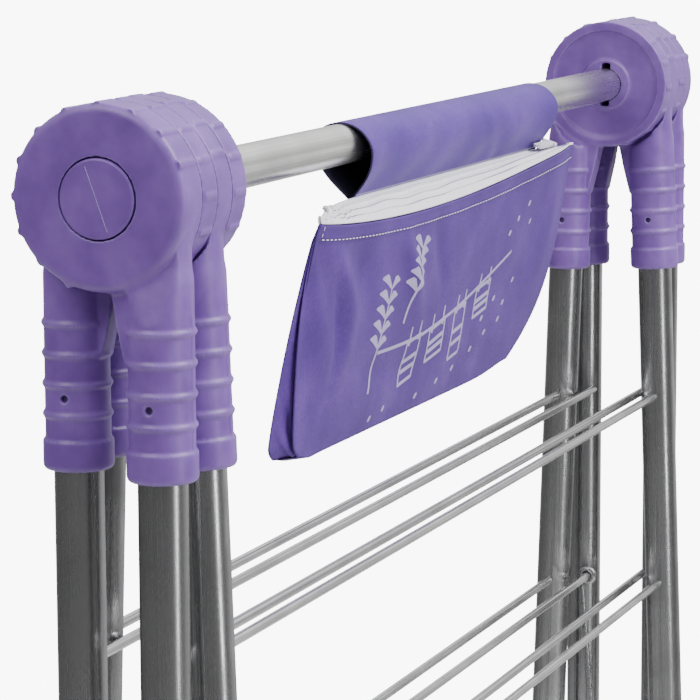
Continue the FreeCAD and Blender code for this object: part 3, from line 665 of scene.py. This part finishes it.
def make_sleeve():
    """Loop of cloth over the bar, its mouth cut slightly back at the bottom, with slack folds."""
    rows, columns = 150, 97
    u = np.linspace(0, 1, rows)[:, None]
    t = np.linspace(0, 1, columns)[None, :]
    y, z = sleeve_section(t)
    hang = np.clip((bar_radius / MM - z) / 36.0, 0, 1)
    left = sleeve_low.x / MM + 11.0 * hang ** 1.3 + 1.2 * np.sin(t * 9.0)
    right = sleeve_high.x / MM - 4.0 * (1 - hang) ** 3 + 0.8 * np.sin(t * 7.0)
    x = left + (right - left) * u
    free = np.clip(hang * 1.8 - 0.25, 0, 1) * np.clip((1 - hang) * 6, 0, 1)
    fold = 0.9 * np.sin((x + 1.4 * z) / 11.0) * bump_of(x, 95.0, 60) + 0.6 * np.sin((x - 1.1 * z) / 8.0)
    fold = fold + 1.4 * bump_of(x + 0.9 * z, 60.0, 9) - 0.9 * bump_of(x + 0.9 * z, 76.0, 8)
    mouth = 0.9 * bump_of(u, 0.0, 0.05) + 0.9 * bump_of(u, 1.0, 0.04)
    out = fold * free + mouth * np.clip(free * 3, 0, 1)
    y = y + np.sign(y) * out
    x, y, z = np.broadcast_arrays(x, y, z + 0.25 * out)
    # The loop's inside takes the painted shade, its outside the sleeve's cloth
    piece = smooth_mesh("bag_sleeve_loop", to_frame(x, y, z), grid_faces(rows, columns),
                        finish["sleeve_lining"])
    section = np.stack(sleeve_section(t[0]), axis=1)
    steps = np.concatenate([[0.0], np.linalg.norm(np.diff(section, axis=0), axis=1)])
    set_cloth_map(piece, np.broadcast_to(x, (rows, columns)).ravel(),
                  np.broadcast_to(np.cumsum(steps)[None, :], (rows, columns)).ravel())
    thicken(piece, cloth_thickness * MM, 1.0)
    # The sleeve's outside takes the lighter, painted-light copy of the bag's cloth
    piece.data.materials.append(finish["sleeve_fabric"])
    piece.modifiers["wall"].material_offset = 1
    wear(piece, "bag", "bag_fabric", "bag_sleeve")
    seam_x = np.linspace(sleeve_low.x / MM + 12, sleeve_high.x / MM - 3, 300)
    for name, side in (("sleeve_seam_front", -1), ("sleeve_seam_back", 1)):
        line = to_frame(seam_x, side * (2.4 + 0 * seam_x), seam_height + 2.9 + 0 * seam_x)
        sew(name, line, (0, side, 0), 2.2, 1.3, 0.4)
    return piece


def on_front(x, z):
    """Points x, z of the front panel, lifted 0.12 mm off its cloth."""
    w = np.clip((z + 32.0) / (hem_drop + 32.0), 0.08, 0.98)
    for _ in range(4):
        ends = panel_x(0 * w, w), panel_x(0 * w + 1, w)
        s = np.clip((x - ends[0]) / (ends[1] - ends[0]), 0.01, 0.99)
        top = front_edge(s)[1]
        w = np.clip((z - top) / (hem_drop - top), 0.08, 0.98)
    x, y, z = front_panel(s, w)
    return to_frame(x, y - 0.12, z)


def stroke(points, widths):
    """Brush stroke through points (x, z), with its own width at each, all in millimetres."""
    line = np.array(points, dtype=float)
    reach = np.concatenate([[0.0], np.cumsum(np.linalg.norm(np.diff(line, axis=0), axis=1))])
    places = np.linspace(0, reach[-1], max(int(reach[-1] / 1.5), 4))
    x, z = (np.interp(places, reach, line[:, axis]) for axis in (0, 1))
    half = np.interp(places, reach, widths) / 2
    along = tangents(np.stack([x, z], axis=1))
    side = np.array([-1.0, 0.0, 1.0])[None, :]
    across_x = x[:, None] - along[:, 1:] * half[:, None] * side
    across_z = z[:, None] + along[:, :1] * half[:, None] * side
    return on_front(across_x, across_z), grid_faces(len(places), 3)[:, ::-1]


def printed(name, strokes):
    """Strokes of print ink joined in one piece."""
    shifts = np.cumsum([0] + [len(points) for points, _ in strokes])
    points = np.concatenate([points for points, _ in strokes])
    faces = np.concatenate([faces + shift for (_, faces), shift in zip(strokes, shifts)])
    piece = smooth_mesh(name, points, faces, finish["print_ink"])
    return wear(piece, "bag", "bag_fabric")


def sprig(x, z, tall, lean):
    """Stem with five pairs of leaves."""
    parts = [stroke([(x, z), (x + lean * tall, z + tall)], [2.6, 1.4])]
    for leaf in range(5):
        root = np.array([x + lean * tall * (0.42 + 0.14 * leaf), z + tall * (0.42 + 0.14 * leaf)])
        for side in (-1, 1):
            tip = root + np.array([side * 11.0 - 1.5, 4.5 - side * 1.5])
            middle = (root + tip) / 2 + np.array([0.0, 2.4])
            parts.append(stroke([root, middle, tip], [1.0, 4.6, 0.8]))
    return parts


def make_print():
    """Washing line between two sprigs, with towels, pegs and drops, in pale ink."""
    printed("print_sprig_left", sprig(-94.0, -114.0, 48.0, 0.22))
    printed("print_sprig_right", sprig(-60.0, -86.0, 34.0, 0.42))
    line_length, climb = 184.0, 26.0
    share = np.linspace(0, 1, 40)
    line_x = -88.0 + line_length * share
    line_z = -96.0 + climb * share - 9.0 * np.sin(np.pi * share)
    washing = [stroke(np.stack([line_x, line_z], axis=1), np.full(40, 1.7))]
    for place, wide, long in ((-48, 17, 20), (-16, 22, 15), (20, 15, 24), (50, 20, 14)):
        top = float(np.interp(place, line_x, line_z)) - 1.0
        rise = wide * climb / line_length
        edge = [(place, top), (place + wide, top + rise), (place + wide - 1, top + rise - long),
                (place - 1, top - long), (place, top)]
        washing.append(stroke(edge, np.full(5, 1.8)))
        for part in (0.45, 0.7):
            stripe = [(place + 0.5, top - long * part), (place + wide - 1.5, top + rise - long * part)]
            washing.append(stroke(stripe, [2.2, 2.2]))
        for peg in (0.15, 0.85):
            foot = (place + wide * peg, top + rise * peg - 2.0)
            washing.append(stroke([foot, (foot[0] + 0.6, foot[1] + 9.0)], [2.4, 1.6]))
    printed("print_washing_line", washing)
    drops = ((88, -60), (101, -54), (118, -48), (126, -58), (80, -92), (96, -96), (108, -86),
             (-20, -126), (8, -123), (30, -120), (54, -114), (72, -108), (92, -104), (-84, -127),
             (-66, -125), (64, -100))
    marks = [[(x - 2.0, z - 0.8), (x, z), (x + 2.0, z + 1.0)] for x, z in drops]
    printed("print_drops", [stroke(mark, [0.8, 3.2, 0.8]) for mark in marks])


# Knuckles and their end caps

rib_height = 2.0 * MM
voxel = 0.6 * MM
kept_triangles = 0.35
skin_passes = 2
arm_passes = 26
arm_top = 20.0              # millimetres below the hub's axis, as are the next two
arm_end = 46.0
arm_blend = 8.0
rib_highlight_scale = 1.6 * MM        # turns the mean lean, per metre, into a share from 0 to 1


def applied(piece):
    """The piece's mesh with its modifiers, as plain arrays in a fresh mesh."""
    graph = bpy.context.evaluated_depsgraph_get()
    graph.update()
    return bpy.data.meshes.new_from_object(piece.evaluated_get(graph))


def read(items, name, width, kind=np.float64):
    """One property of all vertices, edges or faces as an array with width columns."""
    values = np.empty(len(items) * width, dtype=kind)
    items.foreach_get(name, values)
    return values.reshape(-1, width)


def rib_highlight_of(mesh):
    """How far each vertex stands out of its neighbours, 0 on flats and hollows to 1 on ribs: the share of
    painted highlight.
    """
    points = read(mesh.vertices, "co", 3)
    normals = read(mesh.vertex_normals, "vector", 3)
    edges = read(mesh.edges, "vertices", 2, np.int64)
    first, second = edges.T
    run = points[second] - points[first]
    lean = run / (np.linalg.norm(run, axis=1, keepdims=True) + 1e-9) ** 2
    count = np.maximum(np.bincount(edges.ravel(), minlength=len(points)), 1)
    out = np.zeros(len(points))
    for axis in range(3):
        spread = np.bincount(first, lean[:, axis], len(points))
        spread = spread - np.bincount(second, lean[:, axis], len(points))
        out -= normals[:, axis] * spread
    return np.clip(out / count * rib_highlight_scale, 0, 1)


def relaxed(points, edges, share, times):
    """Each vertex moves towards the mean of its neighbours by its own share, several times."""
    first, second = edges.T
    count = np.maximum(np.bincount(edges.ravel(), minlength=len(points)), 1)
    for _ in range(times):
        total = [np.bincount(first, points[second, axis], len(points))
                 + np.bincount(second, points[first, axis], len(points)) for axis in range(3)]
        mean = np.stack(total, axis=1) / count[:, None]
        points = points + share[:, None] * (mean - points)
    return points


def eased(points, edges):
    """Ribs on the rim stand half as proud, and the arm flows out of its disc in one soft curve."""
    local = points - np.array([0.0, 0.0, hub_height])
    down = -local[:, 2] / MM
    reach = np.hypot(local[:, 1], local[:, 2])
    proud = np.clip(reach - hub_radius, 0, rib_height)
    rim = (local[:, 2] > -hub_radius * 0.8) | (np.abs(local[:, 1]) < 4 * MM)
    scale = np.where(rim, 1 - 0.5 * proud / np.maximum(reach, MM), 1.0)
    local = np.stack([local[:, 0], local[:, 1] * scale, local[:, 2] * scale], axis=1)
    points = local + np.array([0.0, 0.0, hub_height])
    arm = np.clip((down - arm_top) / arm_blend, 0, 1) * np.clip((arm_end - down) / arm_blend, 0, 1)
    points = relaxed(points, edges, np.full(len(points), 0.5), skin_passes)
    return relaxed(points, edges, 0.5 * arm, arm_passes)


def make_knuckle(node):
    """Moulded knuckle: the CAD shape as one skin of small cells, relaxed so that every inner
    corner gets the round fillet of a moulding, then thinned where it is flat."""
    skin = bpy.data.objects.new("skin", frame["nodes"][node].data.copy())
    bpy.context.scene.collection.objects.link(skin)
    weld = skin.modifiers.new("weld", "WELD")
    weld.merge_threshold = 0.00001
    cells = skin.modifiers.new("cells", "REMESH")
    cells.mode = "VOXEL"
    cells.voxel_size = voxel
    mesh = applied(skin)
    points = read(mesh.vertices, "co", 3)
    edges = read(mesh.edges, "vertices", 2, np.int64)
    mesh.vertices.foreach_set("co", eased(points, edges).ravel())
    skin.modifiers.clear()
    skin.data = mesh
    skin.modifiers.new("thin", "DECIMATE").ratio = kept_triangles
    mesh = applied(skin)
    bpy.data.objects.remove(skin)
    mesh.name = node + "_moulding"
    mesh.polygons.foreach_set("use_smooth", np.full(len(mesh.polygons), True))
    mesh.materials.clear()
    mesh.materials.append(finish["knuckle_plastic"])
    # Painted highlight on the ribs, from how far each vertex stands out
    mesh.attributes.new("rub", "FLOAT", "POINT").data.foreach_set("value", rib_highlight_of(mesh))
    piece = bpy.data.objects.new(node + "_moulding", mesh)
    bpy.context.scene.collection.objects.link(piece)
    body = node.split("_")[0] + ("_legs" if "_leg_" in node else "_wing")
    return wear(piece, body, "knuckle_plastic", node)


def make_cap_lines():
    """Fine raised line that the mould leaves across each end cap, 20 degrees off upright."""
    t = np.linspace(-1, 1, 60)
    lean = math.radians(20.0)
    margin = 2.5 * MM
    half = (cap_high.z - cap_low.z) / 2 - margin
    for name, face, side in (("cap_line_left", cap_low.x, -1), ("cap_line_right", -cap_low.x, 1)):
        across, down = half * math.sin(lean) * t, half * math.cos(lean) * t
        centres = evenly(np.stack([face + 0 * t, -across, hub_height - down], axis=1), 1.2 * MM)
        out = np.broadcast_to(np.array([side, 0.0, 0.0]), centres.shape)
        along, up = level_directions(centres, out)
        piece = repeat_solid(name, bead(1.6, 0.4, 0.3), centres, along, up, finish["cap_line"])
        wear(piece, "top_rail", "knuckle_plastic")


make_camera()
make_studio()

for knuckle_node in sorted(frame["nodes"]):
    if "_knuckle_" in knuckle_node:
        make_knuckle(knuckle_node)
make_cap_lines()

make_bag()
make_zip_tape()
make_print()
make_stitching()
make_teeth()
make_sleeve()
